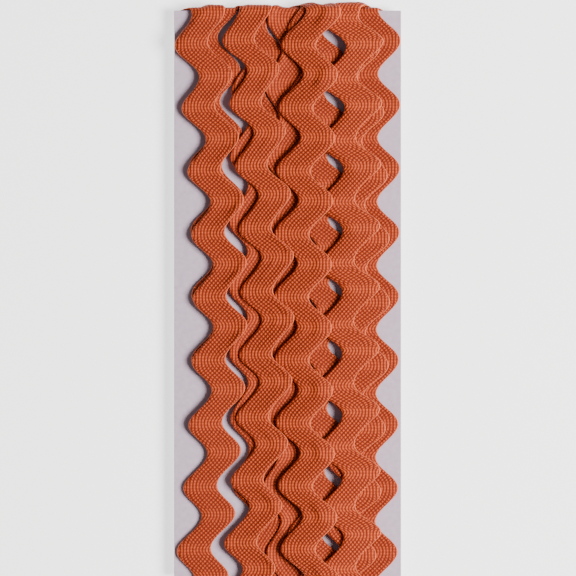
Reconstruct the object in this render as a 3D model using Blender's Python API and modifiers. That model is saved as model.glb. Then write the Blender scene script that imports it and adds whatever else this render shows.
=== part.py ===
"""Ric rac wound lengthwise on a flat card, lying on its back with its front face up.

Units are metres, +Z is up, and +Y runs along the card towards the end shown in the front view.
The origin is in the middle of the footprint, on the surface that the winding rests on.
"""

import math
from collections import namedtuple

import bmesh
import bpy

MM = 0.001

# Card that the ric rac is wound on
CARD_WIDTH = 50.8 * MM
CARD_LENGTH = 127.0 * MM
CARD_THICKNESS = 0.8 * MM
CARD_EDGE_ROUND = 0.15 * MM

# Ribbon, with its width measured straight across a run
RIBBON_WIDTH = 7.4 * MM
RIBBON_THICKNESS = 0.8 * MM
WAVE_LENGTH = 14.1 * MM

# Layers are counted away from the card, and a layer sinks a little into the one under it.
# The turns are pulled tighter round the two ends of the card than over its faces.
LAYER_PITCH = 0.62 * MM
END_LAYER_PITCH = 0.45 * MM
CARD_CLEARANCE = 0.4 * MM
LOWEST_LAYER = 2.0

# The winding is this share narrower at the card's lower end
NARROWER_BELOW = 0.04

# Tails: where the first run starts below the card's upper end, how far the last one goes down
# the back, and the place across the card that it heads for
START_BELOW_END = 88.0 * MM
TAIL_DOWN_BACK = 22.0 * MM
TAIL_HEADS_FOR = 0.0 * MM

# Smoothness of the faceted ribbon
FRONT_STEPS_PER_WAVE = 7.5
BACK_STEPS_PER_WAVE = 5.5
BEND_STEPS = 5
BACK_NARROWER = 0.3 * MM
BEND_RUN_ON = 2.0 * MM

RIC_RAC_COLOUR = (0.52, 0.095, 0.035, 1.0)
CARD_COLOUR = (0.52, 0.47, 0.51, 1.0)

CARD_BACK_Z = CARD_CLEARANCE + RIBBON_THICKNESS + LOWEST_LAYER * LAYER_PITCH
CARD_MIDDLE_Z = CARD_BACK_Z + CARD_THICKNESS / 2

# centre: middle line of the run from the card's middle, in mm, near the upper end
# lean: sideways drift of the run near the upper end, in mm for each mm down the card
# reach: how far the waves swing to each side, in mm
# crest: first wave crest on the right, in mm below the card's upper end
# wave: length of one wave, in mm
# layer: height of the run over the card's front, in layers
FrontRun = namedtuple("FrontRun", "name centre lean reach crest wave layer")
FRONT_RUNS = (
    FrontRun("run_01", -17.15, 0.033, 2.38, -1.0, 14.3, 0.00),
    FrontRun("run_02", -6.40, -0.027, 2.00, 11.0, 14.4, 0.10),
    FrontRun("run_03", 2.25, -0.038, 2.60, 9.9, 14.5, 0.30),
    FrontRun("run_04", 6.40, 0.040, 2.50, 11.0, 14.1, 0.60),
    FrontRun("run_05", 19.10, 0.000, 2.50, 7.0, 14.2, 0.00),
    FrontRun("run_06", 14.60, 0.010, 2.65, 8.2, 13.8, 0.95),
    FrontRun("run_07", 14.16, 0.008, 2.60, 7.9, 13.6, 1.75),
    FrontRun("run_08", 5.49, -0.046, 2.51, 0.5, 14.1, 2.20),
    FrontRun("run_09", -9.52, 0.119, 2.25, -0.4, 14.0, 1.15),
    FrontRun("run_10", -20.10, 0.108, 2.23, 0.4, 14.2, 0.95),
)

# Layer of each back run, which joins the upper end of a front run to the lower end of the next
BACK_LAYERS = (0.00, 0.25, 0.10, 0.35, 1.00, 1.50, 2.00, 1.75, 2.00, 1.10)


def start_scene():
    """Empties the scene and returns the collections for the parts and for the helpers."""
    for old in list(bpy.data.objects):
        bpy.data.objects.remove(old, do_unlink=True)
    parts = bpy.data.collections.new("ric_rac_on_card")
    helpers = bpy.data.collections.new("winding_runs")
    for collection in (parts, helpers):
        bpy.context.scene.collection.children.link(collection)
    return parts, helpers


def material(name, colour, roughness):
    """A plain Principled material."""
    made = bpy.data.materials.new(name)
    made.use_nodes = True
    shader = made.node_tree.nodes["Principled BSDF"]
    shader.inputs["Base Color"].default_value = colour
    shader.inputs["Roughness"].default_value = roughness
    shader.inputs["Metallic"].default_value = 0.0
    made.diffuse_color = colour
    return made


def bow(run, down):
    """Sideways drift of a front run: it leans near the upper end and comes back further down."""
    return run.lean * CARD_LENGTH / math.pi * math.sin(math.pi * down / CARD_LENGTH)


def front_middle(run, down):
    """Middle line of a front run, without its waves; the runs close up a little lower down."""
    return run.centre * MM * (1 - NARROWER_BELOW * down / CARD_LENGTH) + bow(run, down)


def front_phase(run, down):
    """Wave phase of a front run in the direction of winding, which is up the front."""
    return -2 * math.pi * (down - run.crest * MM) / (run.wave * MM)


def inner_radius(layer):
    """Distance of a layer's inner face from the card's mid-plane."""
    return CARD_THICKNESS / 2 + CARD_CLEARANCE + layer * LAYER_PITCH


def end_reach(layer):
    """How far a layer's inner face stands off the end of the card."""
    return CARD_CLEARANCE + layer * END_LAYER_PITCH


def bend_length(layer_in, layer_out):
    """Length of the way round one end of the card, close enough to keep the waves in step."""
    layer = (layer_in + layer_out) / 2
    middle = (inner_radius(layer) + end_reach(layer) + RIBBON_THICKNESS) / 2
    return math.pi * middle


def bend_points(end, layer_in, layer_out, from_front):
    """(y, z, share) of the way round one end of the card; end is 1 for the upper end."""
    points = []
    for step in range(BEND_STEPS + 1):
        share = step / BEND_STEPS
        angle = math.pi * (share if from_front else 1 - share)
        layer = layer_in + (layer_out - layer_in) * share
        y = end * (CARD_LENGTH / 2 + end_reach(layer) * math.sin(angle))
        z = CARD_MIDDLE_Z + inner_radius(layer) * math.cos(angle)
        points.append((y, z, share))
    return points


def straight_steps(length, steps_per_wave):
    """Number of steps along a straight stretch of this length."""
    return max(2, round(length / WAVE_LENGTH * steps_per_wave))


class Stretch:
    """The way from the upper end of one front run, down the back, to the lower end of the next."""

    def __init__(self, index):
        self.run = FRONT_RUNS[index]
        self.last = index + 1 == len(FRONT_RUNS)
        self.next = self.run if self.last else FRONT_RUNS[index + 1]
        self.layer = BACK_LAYERS[index]
        self.upper = bend_length(self.run.layer, self.layer)
        self.lower = bend_length(self.layer, self.next.layer)
        self.length = self.upper + CARD_LENGTH + self.lower
        self.start_phase = front_phase(self.run, 0)
        end_phase = front_phase(self.next, CARD_LENGTH)
        plain = 2 * math.pi * self.length / WAVE_LENGTH
        turns = round((plain - end_phase + self.start_phase) / (2 * math.pi))
        self.advance = plain if self.last else end_phase + 2 * math.pi * turns - self.start_phase

    def sideways(self, travelled):
        """x of the ribbon's middle after this distance from the front run's upper end."""
        share = travelled / self.length
        start = front_middle(self.run, 0)
        end = TAIL_HEADS_FOR if self.last else front_middle(self.next, CARD_LENGTH)
        reach = (self.run.reach + (self.next.reach - self.run.reach) * share) * MM
        wave = reach * math.cos(self.start_phase + self.advance * share)
        return start + (end - start) * share + wave


def front_stations(index):
    """(x, y, z) of the ribbon's inner middle line up the front and round both ends."""
    run = FRONT_RUNS[index]
    after = Stretch(index)
    top_z = CARD_MIDDLE_Z + inner_radius(run.layer)
    stations = []
    lowest = CARD_LENGTH
    if index == 0:
        lowest = START_BELOW_END
    else:
        before = Stretch(index - 1)
        travelled = before.length - before.lower - BEND_RUN_ON
        z = CARD_MIDDLE_Z - inner_radius(before.layer)
        stations.append((before.sideways(travelled), BEND_RUN_ON - CARD_LENGTH / 2, z))
        for y, z, share in bend_points(-1, before.layer, run.layer, False)[:-1]:
            travelled = before.length - before.lower * (1 - share)
            stations.append((before.sideways(travelled), y, z))
    steps = straight_steps(lowest, FRONT_STEPS_PER_WAVE)
    for step in range(steps + 1):
        down = lowest * (1 - step / steps)
        wave = run.reach * MM * math.cos(front_phase(run, down))
        stations.append((front_middle(run, down) + wave, CARD_LENGTH / 2 - down, top_z))
    for y, z, share in bend_points(1, run.layer, after.layer, True)[1:]:
        stations.append((after.sideways(after.upper * share), y, z))
    x = after.sideways(after.upper + BEND_RUN_ON)
    z = CARD_MIDDLE_Z - inner_radius(after.layer)
    stations.append((x, CARD_LENGTH / 2 - BEND_RUN_ON, z))
    return stations


def back_stations(index):
    """(x, y, z) of the ribbon's inner middle line down the back."""
    way = Stretch(index)
    z = CARD_MIDDLE_Z - inner_radius(way.layer)
    length = TAIL_DOWN_BACK if way.last else CARD_LENGTH
    steps = straight_steps(length, BACK_STEPS_PER_WAVE)
    stations = []
    for step in range(steps + 1):
        down = length * step / steps
        stations.append((way.sideways(way.upper + down), CARD_LENGTH / 2 - down, z))
    return stations


def ribbon(name, stations, width, collection):
    """A strip of one face's width laid along the stations and thickened away from the card."""
    count = len(stations) - 1
    shape = bmesh.new()
    bmesh.ops.create_grid(shape, x_segments=1, y_segments=count, size=1.0)
    for vertex in shape.verts:
        x, y, z = stations[round((vertex.co.y + 1) / 2 * count)]
        vertex.co = (x + vertex.co.x * width / 2, y, z)
    mesh = bpy.data.meshes.new(name)
    shape.to_mesh(mesh)
    shape.free()
    made = bpy.data.objects.new(name, mesh)
    collection.objects.link(made)
    thicken = made.modifiers.new("thickness", "SOLIDIFY")
    thicken.thickness = RIBBON_THICKNESS
    thicken.offset = 1.0
    return made


def winding(parts, helpers):
    """All runs of the ric rac joined into one solid."""
    whole = ribbon("ric_rac", front_stations(0), RIBBON_WIDTH, parts)
    for index, run in enumerate(FRONT_RUNS):
        if index:
            ribbon(run.name, front_stations(index), RIBBON_WIDTH, helpers)
        ribbon(run.name + "_back", back_stations(index), RIBBON_WIDTH - BACK_NARROWER, helpers)
    for helper in helpers.objects:
        helper.hide_render = True
        helper.display_type = "WIRE"
    joined = whole.modifiers.new("runs", "BOOLEAN")
    joined.operation = "UNION"
    joined.operand_type = "COLLECTION"
    joined.collection = helpers
    joined.solver = "EXACT"
    whole.data.materials.append(material("ric_rac", RIC_RAC_COLOUR, 0.8))
    return whole


def card(parts):
    """The flat card with slightly eased edges."""
    shape = bmesh.new()
    bmesh.ops.create_cube(shape, size=1.0)
    bmesh.ops.scale(shape, vec=(CARD_WIDTH, CARD_LENGTH, CARD_THICKNESS), verts=shape.verts)
    mesh = bpy.data.meshes.new("card")
    shape.to_mesh(mesh)
    shape.free()
    made = bpy.data.objects.new("card", mesh)
    made.location = (0, 0, CARD_MIDDLE_Z)
    parts.objects.link(made)
    eased = made.modifiers.new("eased_edges", "BEVEL")
    eased.width = CARD_EDGE_ROUND
    eased.segments = 1
    mesh.materials.append(material("card", CARD_COLOUR, 0.9))
    return made


def main():
    parts, helpers = start_scene()
    card(parts)
    winding(parts, helpers)


main()
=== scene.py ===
"""The looks of a ric rac braid wound on a card: its turns, weave, card, light and camera."""

import math
from collections import namedtuple

import bmesh
import bpy
import numpy as np
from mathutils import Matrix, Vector


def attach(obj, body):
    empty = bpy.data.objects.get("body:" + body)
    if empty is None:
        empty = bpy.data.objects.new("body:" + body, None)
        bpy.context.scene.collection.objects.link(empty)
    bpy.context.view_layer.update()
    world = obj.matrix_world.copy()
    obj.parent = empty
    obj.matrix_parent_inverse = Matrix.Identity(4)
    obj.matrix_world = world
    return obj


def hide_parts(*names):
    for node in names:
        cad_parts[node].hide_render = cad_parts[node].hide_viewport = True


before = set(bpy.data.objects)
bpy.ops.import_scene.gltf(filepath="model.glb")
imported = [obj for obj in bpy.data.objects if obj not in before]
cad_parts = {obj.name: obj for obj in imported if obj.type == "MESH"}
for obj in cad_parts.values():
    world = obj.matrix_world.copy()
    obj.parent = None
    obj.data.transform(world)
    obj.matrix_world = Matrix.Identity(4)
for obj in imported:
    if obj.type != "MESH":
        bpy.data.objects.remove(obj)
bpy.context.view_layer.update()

MM = 0.001

# Card and layers, in mm, with the same places as in the part
CARD_WIDTH = 50.8
CARD_LENGTH = 127.0
CARD_THICKNESS = 0.8
CARD_MIDDLE_Z = 2.84
CARD_CLEARANCE = 0.3
CARD_EDGE_ROUND = 0.12
CARD_EDGE_SEGMENTS = 3
HALF_LENGTH = CARD_LENGTH / 2

# Ribbon and its ends, in mm
FRONT_THICKNESS = 0.9
BACK_THICKNESS = 0.8
END_THICKNESS = 0.60
WAVE_LENGTH = 14.1
START_BELOW_END = 88.0
TAIL_DOWN_BACK = 22.0
TAIL_HEADS_FOR = 0.0
NARROWER_BELOW = 0.04

# Weave, in mm: one grain of the braid each way, and how far a grain stands out
GRAIN = 0.70
GRAIN_HEIGHT = 0.16
BEAD_POWER = 0.7
GRAIN_SPREAD = 0.4
WEAVE_ENDS_AT = 0.97
WEAVE_FADE = 0.06

# Constants of a steady pattern that looks random, for the unevenness of the grains
SCATTER_COLUMN = 12.9898
SCATTER_ROW = 78.233
SCATTER_SCALE = 43758.5453

# How steep a wave is, as a sine, where its cross rows start to lean and where they have leant
LEAN_FROM = 0.30
LEAN_TO = 0.60
CREST_ROW_DEPTH = 0.6

# Colours in linear light
# The gap colour is painted shade: the recesses between the grains are coloured dark
GAP_SHADE_COLOUR = (0.15, 0.013, 0.003, 1.0)
THREAD_COLOUR = (0.62, 0.085, 0.020, 1.0)
# The selvedge colour is a painted highlight: the smooth outer thread is coloured lighter for the
# light its rim catches
SELVEDGE_HIGHLIGHT_COLOUR = (0.78, 0.17, 0.065, 1.0)
SELVEDGE_FROM = 0.965
CARD_DARKER = (179, 161, 177)
CARD_LIGHTER = (190, 172, 188)
FLOOR_COLOUR = (0.92, 0.92, 0.92, 1.0)
KEY_COLOUR = (1.0, 0.985, 0.965)
WHITE = (1.0, 1.0, 1.0, 1.0)

# Braid material: wear of the threads, where the tone turns from the painted shade of the gaps to
# thread, and its finish
WEAR_SCALE = 1.1
WEAR_DETAIL = 3.0
WEAR_GAIN = 1.7
WEAR_BASE = 0.1
GAP_TONE = 0.05
THREAD_TONE = 0.8
BRAID_BUMP = 0.6
BRAID_BUMP_MM = 0.15
BRAID_ROUGHNESS = 0.7
BRAID_SPECULAR = 0.15

# Card material: its fibres and finish
FIBRE_SCALE = 900.0
FIBRE_DETAIL = 4.0
FIBRE_DARK_AT = 0.3
FIBRE_LIGHT_AT = 0.7
FIBRE_BUMP = 0.25
FIBRE_BUMP_MM = 0.05
CARD_ROUGHNESS = 0.85

# Painted shade: the lowest turns on the front are darkened this much against the top ones, by their
# height in mm
LOW_TURN_Z = 4.2
TOP_TURN_Z = 6.4
LOW_TURN_SHADE = 0.72

# Light and floor: the key's place round the object and over the floor in degrees, sizes in metres
KEY_AZIMUTH = -10.0
KEY_ELEVATION = 47.0
KEY_AWAY = 0.9
KEY_SIZE = 0.42
KEY_WATTS = 22.5
WORLD_STRENGTH = 0.20
FLOOR_HALF_WIDTH = 1.5
FLOOR_ROUGHNESS = 0.95
FLOOR_GLOW = 1.5

# Camera: its place over the card in mm, its height in metres, and its lens and sensor in mm
CAMERA_X = 0.0786
CAMERA_Y = 1.366
CAMERA_HEIGHT = 1.2
CAMERA_LENS = 334.0
CAMERA_SENSOR = 36.0
CAMERA_NEAR = 0.1
CAMERA_FAR = 5.0

# Mesh steps
ROWS_PER_GRAIN = 4
BACK_ROW_MM = 0.5
BEND_ROWS = 16
OUTER_COLUMNS = 31
INNER_COLUMNS = 5
EDGE_POWER = 8.0
COLUMN_CROWDING = 1.15
LOOP_SQUARENESS = 0.75
LENGTH_SAMPLES = 4001
LEAST_COSINE_SQUARED = 0.2

# Settling grid, in mm
SETTLE_STEP = 0.25
SETTLE_COLUMNS = 21
GRID_HALF_WIDTH = 30.0
GRID_STEP = 0.2
GRID_SLACK = 0.001

# How stiff the braid is: the length in mm that it spans over dips, how softly it comes down beside
# them, and how far it evens out across its width, in settling columns
FRONT_SPAN = 9.0
FRONT_ACROSS = 6.0
BACK_SPAN = 5.0
BACK_ACROSS = 2.8
SPAN_SOFTNESS = 0.45
LOOP_ACROSS = 2.0
FINE_ACROSS = 1.0
BUMP_ROWS = 3
BUMP_BLUR_ROWS = 2
LOOP_CLEARANCE = 0.12
FLOOR_CLEARANCE = 0.06

# centre: middle line from the card's middle near the upper end; lean: its drift for each mm down
# reach: how far the waves swing; crest: first crest on the right, below the upper end
# wave: length of one wave; width: of the braid, straight across the run. All these in mm.
# skew: how much steeper a wave rises than it falls; flare: how much wider it is where it rises
# loop: way round the card's upper end, or the lower end that leads up to the run, in mm
FrontRun = namedtuple("FrontRun", "name centre lean reach crest wave width skew flare loop")
FRONT_RUNS = (
    FrontRun("run_01", -17.15, 0.033, 2.38, -1.10, 14.4, 7.40, 0.00, 0.00, 2.6),
    FrontRun("run_02", -6.38, -0.027, 2.00, 10.30, 14.7, 7.50, 0.18, 0.00, 2.8),
    FrontRun("run_03", 1.20, -0.042, 1.75, 9.20, 15.0, 7.90, 0.00, 0.00, 2.8),
    FrontRun("run_04", 6.05, 0.048, 2.40, 11.05, 14.1, 7.60, 0.18, 0.00, 3.4),
    FrontRun("run_05", 19.16, 0.000, 2.49, 6.93, 14.3, 7.40, 0.06, 0.00, 2.6),
    FrontRun("run_06", 13.60, 0.080, 2.65, 8.28, 14.2, 7.40, -0.08, 0.00, 3.6),
    FrontRun("run_07", 14.56, -0.019, 2.73, 8.10, 13.7, 8.00, 0.26, 0.22, 4.6),
    FrontRun("run_08", 5.47, -0.048, 2.57, 0.50, 14.1, 7.80, 0.09, -0.03, 5.0),
    FrontRun("run_09", -9.41, 0.116, 2.38, -0.50, 14.0, 7.20, 0.19, 0.08, 4.0),
    FrontRun("run_10", -20.12, 0.114, 2.30, 0.48, 14.1, 7.45, 0.09, 0.11, 3.6),
)


def bow(run, down):
    """Sideways drift of a run: it leans near the upper end and comes back further down."""
    return run.lean * CARD_LENGTH / math.pi * np.sin(np.pi * down / CARD_LENGTH)


def swing(phase, skew):
    """Sideways place of a wave, from -1 to 1."""
    return np.cos(phase - skew * np.cos(phase))


def front_middle(run, down):
    return run.centre * (1 - NARROWER_BELOW * down / CARD_LENGTH) + bow(run, down)


def front_phase(run, down):
    return -2 * np.pi * (down - run.crest) / run.wave


def front_x(run, down):
    return front_middle(run, down) + run.reach * swing(front_phase(run, down), run.skew)


def front_width(run, down):
    return run.width * (1 + run.flare * np.sin(front_phase(run, down)))


class Stretch:
    """The way from the upper end of one front run, down the back, to the next run's lower end."""

    def __init__(self, index):
        self.run = FRONT_RUNS[index]
        self.last = index + 1 == len(FRONT_RUNS)
        self.next = self.run if self.last else FRONT_RUNS[index + 1]
        self.upper = self.run.loop
        self.lower = self.next.loop
        self.length = self.upper + CARD_LENGTH + self.lower
        self.start_phase = front_phase(self.run, 0.0)
        end_phase = front_phase(self.next, CARD_LENGTH)
        plain = 2 * np.pi * self.length / WAVE_LENGTH
        turns = round((plain - end_phase + self.start_phase) / (2 * np.pi))
        self.advance = plain if self.last else end_phase + 2 * np.pi * turns - self.start_phase

    def x(self, travelled):
        share = travelled / self.length
        start = front_middle(self.run, 0.0)
        end = TAIL_HEADS_FOR if self.last else front_middle(self.next, CARD_LENGTH)
        wave = self.between("reach", share) * swing(self.phase(share), self.between("skew", share))
        return start + (end - start) * share + wave

    def phase(self, share):
        return self.start_phase + self.advance * share

    def between(self, field, share):
        """A value that goes from one front run's to the next's along the way."""
        first = getattr(self.run, field)
        return first + (getattr(self.next, field) - first) * share

    def width(self, travelled):
        share = travelled / self.length
        flare = self.between("flare", share) * np.sin(self.phase(share))
        return self.between("width", share) * (1 + flare)


STRETCHES = [Stretch(index) for index in range(len(FRONT_RUNS))]


def blur(values, sigma, axis):
    """Gaussian blur along one axis, with the ends held."""
    if sigma <= 0:
        return values
    half = max(1, int(math.ceil(3 * sigma)))
    offsets = np.arange(-half, half + 1)
    weights = np.exp(-0.5 * (offsets / sigma) ** 2)
    weights = weights / weights.sum()
    moved = np.moveaxis(values, axis, 0)
    pad = [(half, half)] + [(0, 0)] * (moved.ndim - 1)
    padded = np.pad(moved, pad, mode="edge")
    total = np.zeros_like(moved)
    for offset, weight in zip(range(len(offsets)), weights):
        total = total + weight * padded[offset:offset + moved.shape[0]]
    return np.moveaxis(total, 0, axis)


def swell(values, reach, axis):
    """Highest value within so many steps along one axis."""
    moved = np.moveaxis(values, axis, 0)
    pad = [(reach, reach)] + [(0, 0)] * (moved.ndim - 1)
    padded = np.pad(moved, pad, mode="edge")
    best = moved.copy()
    for offset in range(2 * reach + 1):
        best = np.maximum(best, padded[offset:offset + moved.shape[0]])
    return np.moveaxis(best, 0, axis)


COLUMN_T = np.linspace(-1, 1, SETTLE_COLUMNS)
GRID_X = np.arange(-GRID_HALF_WIDTH, GRID_HALF_WIDTH + GRID_SLACK, GRID_STEP)
GRID_Y = np.arange(-HALF_LENGTH, HALF_LENGTH + GRID_SLACK, SETTLE_STEP)


def lay(support, middle, width, rows, thickness, along, across):
    """Lays one ribbon on what is there and returns its inner face, by row and column."""
    place = middle[:, None] + COLUMN_T[None, :] * width[:, None] / 2
    under = np.empty_like(place)
    for row in range(len(middle)):
        under[row] = np.interp(place[row], GRID_X, support[rows[row]])
    face = swell(under, int(along / SETTLE_STEP), 0)
    face = blur(face, SPAN_SOFTNESS * along / SETTLE_STEP, 0)
    face = swell(face, 1, 1)
    face = blur(face, across, 1)
    over = np.maximum(under - face, 0)
    over = swell(swell(over, BUMP_ROWS, 0), 1, 1)
    face = face + blur(blur(over, BUMP_BLUR_ROWS, 0), FINE_ACROSS, 1)
    top = face + thickness
    for row in range(len(middle)):
        inside = (GRID_X >= place[row, 0]) & (GRID_X <= place[row, -1])
        level = np.interp(GRID_X[inside], place[row], top[row])
        line = support[rows[row]]
        line[inside] = np.maximum(line[inside], level)
    return face


def settle():
    """Inner faces of all front and back runs, as heights over the card's mid-plane."""
    start = CARD_THICKNESS / 2 + CARD_CLEARANCE
    front = np.full((len(GRID_Y), len(GRID_X)), start)
    back = np.full((len(GRID_Y), len(GRID_X)), start)
    fronts = []
    backs = []
    for index, run in enumerate(FRONT_RUNS):
        down = HALF_LENGTH - GRID_Y
        rows = np.arange(len(GRID_Y))
        if index == 0:
            rows = rows[down <= START_BELOW_END + SETTLE_STEP]
        middle = front_x(run, down[rows])
        width = front_width(run, down[rows])
        face = lay(front, middle, width, rows, FRONT_THICKNESS, FRONT_SPAN, FRONT_ACROSS)
        fronts.append((GRID_Y[rows], face))
        rows = np.arange(len(GRID_Y))
        if index == len(FRONT_RUNS) - 1:
            rows = rows[down <= TAIL_DOWN_BACK + SETTLE_STEP]
        travelled = run.loop + down[rows]
        middle = STRETCHES[index].x(travelled)
        width = STRETCHES[index].width(travelled)
        face = lay(back, middle, width, rows, BACK_THICKNESS, BACK_SPAN, BACK_ACROSS)
        face = np.minimum(face, CARD_MIDDLE_Z - BACK_THICKNESS - FLOOR_CLEARANCE)
        backs.append((GRID_Y[rows], face))
    return fronts, backs


def settle_ends():
    """How far each loop's inner face stands off the card's upper and lower end."""
    upper = np.full(len(GRID_X), LOOP_CLEARANCE)
    lower = np.full(len(GRID_X), LOOP_CLEARANCE)
    uppers = []
    lowers = [None]
    for index, run in enumerate(FRONT_RUNS):
        way = STRETCHES[index]
        for support, kept, travelled in (
            (upper, uppers, way.upper / 2),
            (lower, lowers, way.length - way.lower / 2),
        ):
            if support is lower and index == len(FRONT_RUNS) - 1:
                continue
            place = way.x(travelled) + COLUMN_T * way.width(travelled) / 2
            under = np.interp(place, GRID_X, support)
            face = blur(swell(under, 1, 0), LOOP_ACROSS, 0)
            over = np.maximum(under - face, 0)
            face = face + blur(swell(over, 1, 0), FINE_ACROSS, 0)
            inside = (GRID_X >= place[0]) & (GRID_X <= place[-1])
            level = np.interp(GRID_X[inside], place, face + END_THICKNESS)
            support[inside] = np.maximum(support[inside], level)
            kept.append(face)
    return uppers, lowers


def section():
    """One section of the ribbon: t across it from -1 to 1, its side, and its depth as a share."""
    outer = np.linspace(-1, 1, OUTER_COLUMNS + 2)
    outer = np.sign(outer) * (1 - (1 - np.abs(outer)) ** COLUMN_CROWDING)
    inner = np.linspace(1, -1, INNER_COLUMNS + 2)[1:-1]
    t = np.concatenate([outer, inner])
    side = np.concatenate([np.ones(len(outer)), -np.ones(len(inner))])
    depth = 0.5 + 0.5 * side * np.sqrt(np.maximum(0, 1 - np.abs(t) ** EDGE_POWER))
    return t, side, depth


SECTION_T, SECTION_SIDE, SECTION_DEPTH = section()


def even_rows(y_start, y_end, x_of, step):
    """Places along y that are evenly spaced along the ribbon, with its length up to each."""
    y = np.linspace(y_start, y_end, LENGTH_SAMPLES)
    x = x_of(y)
    length = np.concatenate([[0], np.cumsum(np.hypot(np.diff(x), np.diff(y)))])
    count = max(2, int(round(length[-1] / step)))
    even = np.linspace(0, length[-1], count + 1)
    return np.interp(even, length, y), even


def column_heights(y_rows, grid_y, face):
    """Inner face heights at these rows and at the section's columns."""
    across = np.empty((len(grid_y), len(SECTION_T)))
    for row in range(len(grid_y)):
        across[row] = np.interp(SECTION_T, COLUMN_T, face[row])
    found = np.empty((len(y_rows), len(SECTION_T)))
    for column in range(len(SECTION_T)):
        found[:, column] = np.interp(y_rows, grid_y, across[:, column])
    return found


class Rows:
    """Rows of the ribbon's inner face, gathered along its way."""

    def __init__(self):
        self.middle = []
        self.width = []
        self.inner = []
        self.out = []
        self.thick = []
        self.relief = []
        self.length = []

    def add(self, x_middle, width, y, z, out_y, out_z, thick, relief, length):
        self.middle.append(x_middle)
        self.width.append(width)
        self.inner.append(np.stack([y, z], axis=1))
        self.out.append((out_y, out_z))
        self.thick.append(thick)
        self.relief.append(relief)
        self.length.append(length)


def flat_rows(rows, x_of, width_of, y_start, y_end, faces, side, step, relief, from_length):
    """Rows over one face of the card."""
    y_rows, even = even_rows(y_start, y_end, x_of, step)
    heights = column_heights(y_rows, faces[0], faces[1])
    x = x_of(y_rows)
    thick = FRONT_THICKNESS if side > 0 else BACK_THICKNESS
    for row in range(1 if rows.middle else 0, len(y_rows)):
        y = np.full(len(SECTION_T), y_rows[row])
        z = CARD_MIDDLE_Z + side * heights[row]
        width = width_of(y_rows[row])
        rows.add(x[row], width, y, z, 0.0, side, thick, relief, from_length + even[row])
    return from_length + even[-1]


def bend_rows(rows, way, upper, heights_in, heights_out, reach, from_length):
    """Rows round one end of the card, without the first one."""
    reach_at = np.interp(SECTION_T, COLUMN_T, reach)
    end = 1 if upper else -1
    loop = way.upper if upper else way.lower
    start = 0 if upper else way.length - way.lower
    last = None
    length = from_length
    for step in range(BEND_ROWS + 1):
        share = step / BEND_ROWS
        angle = math.pi * (share if upper else 1 - share)
        sine = math.sin(angle)
        cosine = math.cos(angle)
        height = heights_in + (heights_out - heights_in) * share
        bulge = abs(sine) ** LOOP_SQUARENESS
        rise = math.copysign(abs(cosine) ** LOOP_SQUARENESS, cosine)
        y = end * (HALF_LENGTH + reach_at * bulge)
        z = CARD_MIDDLE_Z + height * rise
        front_share = 1 - share if upper else share
        flat = BACK_THICKNESS + (FRONT_THICKNESS - BACK_THICKNESS) * front_share
        thick = flat + (END_THICKNESS - flat) * sine
        x = way.x(start + share * loop)
        width = way.width(start + share * loop)
        centre = (x, y.mean() + end * sine * thick, z.mean() + cosine * thick)
        if last is not None:
            length += math.dist(last, centre)
            rows.add(x, width, y, z, end * sine, cosine, thick, front_share, length)
        last = centre
    return length


def uneven(column, row):
    """A steady but irregular factor for each grain of the weave."""
    mixed = np.sin(column * SCATTER_COLUMN + row * SCATTER_ROW) * SCATTER_SCALE
    return 1 - GRAIN_SPREAD + 2 * GRAIN_SPREAD * (mixed - np.floor(mixed))


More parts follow.
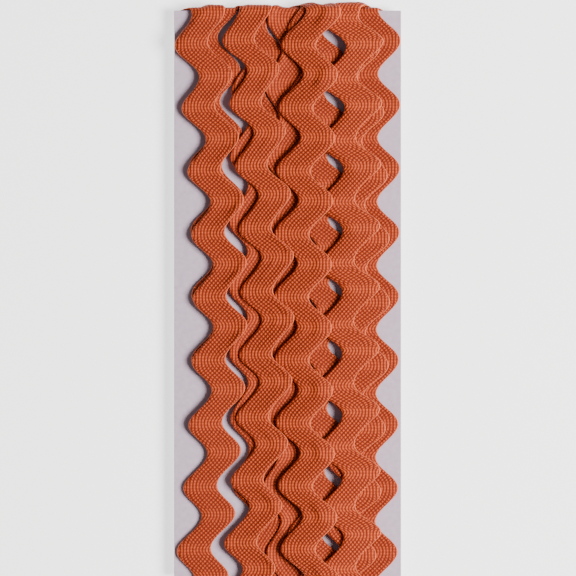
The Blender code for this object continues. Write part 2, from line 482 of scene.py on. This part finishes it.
def ribbon(name, rows):
    """A closed mesh of the ribbon along its rows, with its weave as real relief."""
    middle = np.array(rows.middle)
    inner = np.array(rows.inner)
    out = np.array(rows.out)
    thick = np.array(rows.thick)
    relief = np.array(rows.relief)
    length = np.array(rows.length)
    slope = np.gradient(middle, length)
    cosine = np.sqrt(np.clip(1 - slope ** 2, LEAST_COSINE_SQUARED, 1))
    count = len(middle)
    columns = len(SECTION_T)
    across = SECTION_T[None, :] * np.array(rows.width)[:, None] / 2
    u = across * cosine[:, None] / GRAIN
    v = np.repeat(length[:, None] / GRAIN, columns, axis=1)
    steep = np.clip((np.abs(slope) - LEAN_FROM) / (LEAN_TO - LEAN_FROM), 0, 1)[:, None]
    steep = steep * steep * (3 - 2 * steep)
    leaning = v + np.sign(slope)[:, None] * u
    rows_across = (1 - steep) * np.cos(2 * np.pi * v) + steep * np.cos(2 * np.pi * leaning)
    depth = CREST_ROW_DEPTH + (1 - CREST_ROW_DEPTH) * steep
    grain = (0.5 + 0.5 * np.cos(2 * np.pi * u)) * (1 - depth * (0.5 - 0.5 * rows_across))
    fade = np.clip((WEAVE_ENDS_AT - np.abs(SECTION_T)) / WEAVE_FADE, 0, 1) * (SECTION_SIDE > 0)
    grain = grain ** BEAD_POWER * uneven(np.round(u), np.round(v))
    raised = GRAIN_HEIGHT * (grain - 0.5) * fade[None, :] * relief[:, None]
    offset = thick[:, None] * SECTION_DEPTH[None, :] + raised
    points = np.empty((count, columns, 3))
    points[:, :, 0] = middle[:, None] + across
    points[:, :, 1] = inner[:, :, 0] + out[:, 0:1] * offset
    points[:, :, 2] = inner[:, :, 1] + out[:, 1:2] * offset
    row = np.arange(count - 1)[:, None] * columns
    here = np.arange(columns)[None, :]
    there = (here + 1) % columns
    quads = np.stack([row + here, row + there, row + columns + there, row + columns + here], axis=2)
    quads = quads.reshape(-1, 4)
    mesh = bpy.data.meshes.new(name)
    mesh.vertices.add(count * columns)
    mesh.vertices.foreach_set("co", (points.reshape(-1) * MM).astype(np.float32))
    ends = [np.arange(columns)[::-1], (count - 1) * columns + np.arange(columns)]
    corners = np.concatenate([quads.reshape(-1)] + ends)
    mesh.loops.add(len(corners))
    mesh.loops.foreach_set("vertex_index", corners.astype(np.int32))
    starts = np.concatenate([np.arange(len(quads)) * 4, len(quads) * 4 + np.array([0, columns])])
    mesh.polygons.add(len(starts))
    mesh.polygons.foreach_set("loop_start", starts.astype(np.int32))
    mesh.update(calc_edges=True)
    layer = mesh.uv_layers.new(name="weave")
    flat = np.stack([u.reshape(-1), v.reshape(-1)], axis=1)
    layer.data.foreach_set("uv", flat[corners].reshape(-1).astype(np.float32))
    rim = mesh.uv_layers.new(name="rim")
    place = np.stack([np.tile(SECTION_T, count), np.repeat(slope, columns)], axis=1)
    rim.data.foreach_set("uv", place[corners].reshape(-1).astype(np.float32))
    mesh.polygons.foreach_set("use_smooth", np.ones(len(starts), bool))
    mesh.validate()
    made = bpy.data.objects.new(name, mesh)
    bpy.context.scene.collection.objects.link(made)
    return made


def wind():
    """All pieces of the ric rac, in the order they are wound."""
    fronts, backs = settle()
    uppers, lowers = settle_ends()
    pieces = []
    length = 0.0
    for index, run in enumerate(FRONT_RUNS):
        rows = Rows()
        after = STRETCHES[index]
        if index:
            before = STRETCHES[index - 1]
            start = before.length - before.lower
            height_in = column_heights(np.array([-HALF_LENGTH]), *backs[index - 1])[0]
            height_out = column_heights(np.array([-HALF_LENGTH]), *fronts[index])[0]
            first = before.x(start)
            y = np.full(len(SECTION_T), -HALF_LENGTH)
            z = CARD_MIDDLE_Z - height_in
            rows.add(first, before.width(start), y, z, 0.0, -1.0, BACK_THICKNESS, 0.0, length)
            length = bend_rows(rows, before, False, height_in, height_out, lowers[index], length)
        y_start = HALF_LENGTH - START_BELOW_END if index == 0 else -HALF_LENGTH
        length = flat_rows(
            rows, lambda y: front_x(run, HALF_LENGTH - y),
            lambda y: front_width(run, HALF_LENGTH - y), y_start, HALF_LENGTH, fronts[index],
            1.0, GRAIN / ROWS_PER_GRAIN, 1.0, length,
        )
        height_in = column_heights(np.array([HALF_LENGTH]), *fronts[index])[0]
        height_out = column_heights(np.array([HALF_LENGTH]), *backs[index])[0]
        length = bend_rows(rows, after, True, height_in, height_out, uppers[index], length)
        pieces.append(ribbon("ric_rac_" + run.name, rows))
        rows = Rows()
        y_end = HALF_LENGTH - TAIL_DOWN_BACK if index == len(FRONT_RUNS) - 1 else -HALF_LENGTH
        length = flat_rows(
            rows, lambda y: after.x(after.upper + HALF_LENGTH - y),
            lambda y: after.width(after.upper + HALF_LENGTH - y), HALF_LENGTH, y_end,
            backs[index], -1.0, BACK_ROW_MM, 0.0, length,
        )
        pieces.append(ribbon("ric_rac_" + run.name + "_back", rows))
    return pieces


def linear(red, green, blue):
    """A display colour from 0 to 255 as linear light."""
    found = []
    for value in (red, green, blue):
        share = value / 255
        found.append(share / 12.92 if share <= 0.04045 else ((share + 0.055) / 1.055) ** 2.4)
    return (*found, 1.0)


def node(tree, kind, **settings):
    made = tree.nodes.new(kind)
    for key, value in settings.items():
        setattr(made, key, value)
    return made


def maths(tree, operation, first, second=None):
    """A math node fed by sockets or plain numbers."""
    made = node(tree, "ShaderNodeMath", operation=operation)
    for socket, value in zip(made.inputs, (first, second)):
        if value is None:
            continue
        if isinstance(value, (int, float)):
            socket.default_value = value
        else:
            tree.links.new(value, socket)
    return made.outputs[0]


def ripple(tree, turns):
    """A wave from 0 to 1 that peaks at each whole number."""
    wave = maths(tree, "COSINE", maths(tree, "MULTIPLY", turns, 2 * math.pi))
    half = maths(tree, "MULTIPLY", wave, 0.5)
    return maths(tree, "ADD", half, 0.5)


def braid_material():
    """Matt polyester braid: pale grains with painted shade in the gaps between them, a painted
    highlight on the selvedge and painted shade on the lowest turns.
    """
    made = bpy.data.materials.new("braid")
    made.use_nodes = True
    tree = made.node_tree
    shader = tree.nodes["Principled BSDF"]
    uv = node(tree, "ShaderNodeUVMap", uv_map="weave")
    split = node(tree, "ShaderNodeSeparateXYZ")
    tree.links.new(uv.outputs["UV"], split.inputs[0])
    rim = node(tree, "ShaderNodeUVMap", uv_map="rim")
    rim_split = node(tree, "ShaderNodeSeparateXYZ")
    tree.links.new(rim.outputs["UV"], rim_split.inputs[0])
    u = split.outputs[0]
    v = split.outputs[1]
    slope = rim_split.outputs[1]
    leaning = maths(tree, "ADD", v, maths(tree, "MULTIPLY", maths(tree, "SIGN", slope), u))
    steep = node(tree, "ShaderNodeMapRange", interpolation_type="SMOOTHSTEP")
    steep.inputs["From Min"].default_value = LEAN_FROM
    steep.inputs["From Max"].default_value = LEAN_TO
    tree.links.new(maths(tree, "ABSOLUTE", slope), steep.inputs["Value"])
    rows = node(tree, "ShaderNodeMix", data_type="FLOAT")
    tree.links.new(steep.outputs[0], rows.inputs["Factor"])
    tree.links.new(ripple(tree, v), rows.inputs["A"])
    tree.links.new(ripple(tree, leaning), rows.inputs["B"])
    depth = maths(tree, "MULTIPLY", steep.outputs[0], 1 - CREST_ROW_DEPTH)
    depth = maths(tree, "ADD", depth, CREST_ROW_DEPTH)
    gap = maths(tree, "MULTIPLY", depth, maths(tree, "SUBTRACT", 1.0, rows.outputs["Result"]))
    both = maths(tree, "MULTIPLY", ripple(tree, u), maths(tree, "SUBTRACT", 1.0, gap))
    grain = maths(tree, "POWER", both, BEAD_POWER)
    threads = node(tree, "ShaderNodeTexNoise")
    threads.inputs["Scale"].default_value = WEAR_SCALE
    threads.inputs["Detail"].default_value = WEAR_DETAIL
    tree.links.new(uv.outputs["UV"], threads.inputs["Vector"])
    worn = maths(tree, "MULTIPLY", threads.outputs["Fac"], WEAR_GAIN)
    worn = maths(tree, "ADD", worn, WEAR_BASE)
    tone = maths(tree, "MULTIPLY", grain, worn)
    # Painted shade: the braid is darkened towards the lowest turns by its height
    place = node(tree, "ShaderNodeTexCoord")
    place_split = node(tree, "ShaderNodeSeparateXYZ")
    tree.links.new(place.outputs["Object"], place_split.inputs[0])
    height = node(tree, "ShaderNodeMapRange")
    height.inputs["From Min"].default_value = LOW_TURN_Z * MM
    height.inputs["From Max"].default_value = TOP_TURN_Z * MM
    height.inputs["To Min"].default_value = LOW_TURN_SHADE
    height.inputs["To Max"].default_value = 1.0
    tree.links.new(place_split.outputs[2], height.inputs["Value"])
    tone = maths(tree, "MULTIPLY", tone, height.outputs[0])
    # Painted shade: the tone runs from dark gaps between the grains to thread colour on the bead
    # tops
    ramp = node(tree, "ShaderNodeValToRGB")
    ramp.color_ramp.elements[0].position = GAP_TONE
    ramp.color_ramp.elements[0].color = GAP_SHADE_COLOUR
    ramp.color_ramp.elements[1].position = THREAD_TONE
    ramp.color_ramp.elements[1].color = THREAD_COLOUR
    tree.links.new(tone, ramp.inputs[0])
    # Painted highlight: the selvedge, the smooth outermost thread, is given a lighter colour
    off_middle = maths(tree, "ABSOLUTE", rim_split.outputs[0])
    selvedge = maths(tree, "GREATER_THAN", off_middle, SELVEDGE_FROM)
    highlighted = node(tree, "ShaderNodeMix", data_type="RGBA")
    tree.links.new(selvedge, highlighted.inputs["Factor"])
    tree.links.new(ramp.outputs[0], highlighted.inputs["A"])
    highlighted.inputs["B"].default_value = SELVEDGE_HIGHLIGHT_COLOUR
    tree.links.new(highlighted.outputs["Result"], shader.inputs["Base Color"])
    bump = node(tree, "ShaderNodeBump")
    bump.inputs["Strength"].default_value = BRAID_BUMP
    bump.inputs["Distance"].default_value = BRAID_BUMP_MM * MM
    plain = maths(tree, "MAXIMUM", tone, selvedge)
    tree.links.new(plain, bump.inputs["Height"])
    tree.links.new(bump.outputs["Normal"], shader.inputs["Normal"])
    shader.inputs["Roughness"].default_value = BRAID_ROUGHNESS
    shader.inputs["Specular IOR Level"].default_value = BRAID_SPECULAR
    return made


def card_material():
    """Uncoated pale lilac-grey card with a faint fibre tone."""
    made = bpy.data.materials.new("pale_card")
    made.use_nodes = True
    tree = made.node_tree
    shader = tree.nodes["Principled BSDF"]
    place = node(tree, "ShaderNodeTexCoord")
    fibre = node(tree, "ShaderNodeTexNoise")
    fibre.inputs["Scale"].default_value = FIBRE_SCALE
    fibre.inputs["Detail"].default_value = FIBRE_DETAIL
    tree.links.new(place.outputs["Object"], fibre.inputs["Vector"])
    ramp = node(tree, "ShaderNodeValToRGB")
    ramp.color_ramp.elements[0].position = FIBRE_DARK_AT
    ramp.color_ramp.elements[0].color = linear(*CARD_DARKER)
    ramp.color_ramp.elements[1].position = FIBRE_LIGHT_AT
    ramp.color_ramp.elements[1].color = linear(*CARD_LIGHTER)
    tree.links.new(fibre.outputs["Fac"], ramp.inputs[0])
    tree.links.new(ramp.outputs[0], shader.inputs["Base Color"])
    bump = node(tree, "ShaderNodeBump")
    bump.inputs["Strength"].default_value = FIBRE_BUMP
    bump.inputs["Distance"].default_value = FIBRE_BUMP_MM * MM
    tree.links.new(fibre.outputs["Fac"], bump.inputs["Height"])
    tree.links.new(bump.outputs["Normal"], shader.inputs["Normal"])
    shader.inputs["Roughness"].default_value = CARD_ROUGHNESS
    return made


def card():
    """The card with softened edges."""
    shape = bmesh.new()
    bmesh.ops.create_cube(shape, size=1.0)
    size = (CARD_WIDTH * MM, CARD_LENGTH * MM, CARD_THICKNESS * MM)
    bmesh.ops.scale(shape, vec=size, verts=shape.verts)
    bmesh.ops.translate(shape, vec=(0, 0, CARD_MIDDLE_Z * MM), verts=shape.verts)
    bmesh.ops.bevel(
        shape, geom=shape.edges, offset=CARD_EDGE_ROUND * MM, segments=CARD_EDGE_SEGMENTS,
        affect="EDGES", profile=0.5,
    )
    mesh = bpy.data.meshes.new("card_look")
    shape.to_mesh(mesh)
    shape.free()
    made = bpy.data.objects.new("card_look", mesh)
    bpy.context.scene.collection.objects.link(made)
    mesh.materials.append(card_material())
    return made


def area_light(name, place, aim, size, power, colour):
    """A round light at this place, turned to the point it aims at."""
    light = bpy.data.lights.new(name, "AREA")
    light.shape = "DISK"
    light.size = size
    light.energy = power
    light.color = colour
    made = bpy.data.objects.new(name, light)
    made.location = place
    direction = np.array(aim) - np.array(place)
    made.rotation_euler = Vector(direction).to_track_quat("-Z", "Y").to_euler()
    bpy.context.scene.collection.objects.link(made)
    return made


def studio():
    """Pale floor, one soft key light from the right, a white world as fill, and the camera."""
    shape = bmesh.new()
    bmesh.ops.create_grid(shape, x_segments=1, y_segments=1, size=FLOOR_HALF_WIDTH)
    mesh = bpy.data.meshes.new("floor")
    shape.to_mesh(mesh)
    shape.free()
    floor = bpy.data.objects.new("floor", mesh)
    bpy.context.scene.collection.objects.link(floor)
    plain = bpy.data.materials.new("pale_floor")
    plain.use_nodes = True
    shader = plain.node_tree.nodes["Principled BSDF"]
    shader.inputs["Base Color"].default_value = FLOOR_COLOUR
    shader.inputs["Roughness"].default_value = FLOOR_ROUGHNESS
    shader.inputs["Specular IOR Level"].default_value = 0.0
    shader.inputs["Emission Color"].default_value = WHITE
    shader.inputs["Emission Strength"].default_value = FLOOR_GLOW
    mesh.materials.append(plain)
    azimuth = math.radians(KEY_AZIMUTH)
    elevation = math.radians(KEY_ELEVATION)
    place = (
        KEY_AWAY * math.cos(elevation) * math.cos(azimuth),
        KEY_AWAY * math.cos(elevation) * math.sin(azimuth),
        KEY_AWAY * math.sin(elevation),
    )
    area_light("key", place, (0, 0, 0), KEY_SIZE, KEY_WATTS, KEY_COLOUR)
    world = bpy.data.worlds.new("studio")
    world.use_nodes = True
    background = world.node_tree.nodes["Background"]
    background.inputs["Color"].default_value = WHITE
    background.inputs["Strength"].default_value = WORLD_STRENGTH
    bpy.context.scene.world = world
    lens = bpy.data.cameras.new("photo_view")
    lens.lens = CAMERA_LENS
    lens.sensor_width = CAMERA_SENSOR
    lens.clip_start = CAMERA_NEAR
    lens.clip_end = CAMERA_FAR
    camera = bpy.data.objects.new("photo_view", lens)
    camera.location = (CAMERA_X * MM, CAMERA_Y * MM, CAMERA_HEIGHT)
    bpy.context.scene.collection.objects.link(camera)
    bpy.context.scene.camera = camera


def main():
    braid = braid_material()
    pieces = wind()
    for piece in pieces:
        piece.data.materials.append(braid)
        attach(piece, "root")
    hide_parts("ric_rac")
    board = card()
    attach(board, "root")
    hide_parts("card")
    studio()


main()
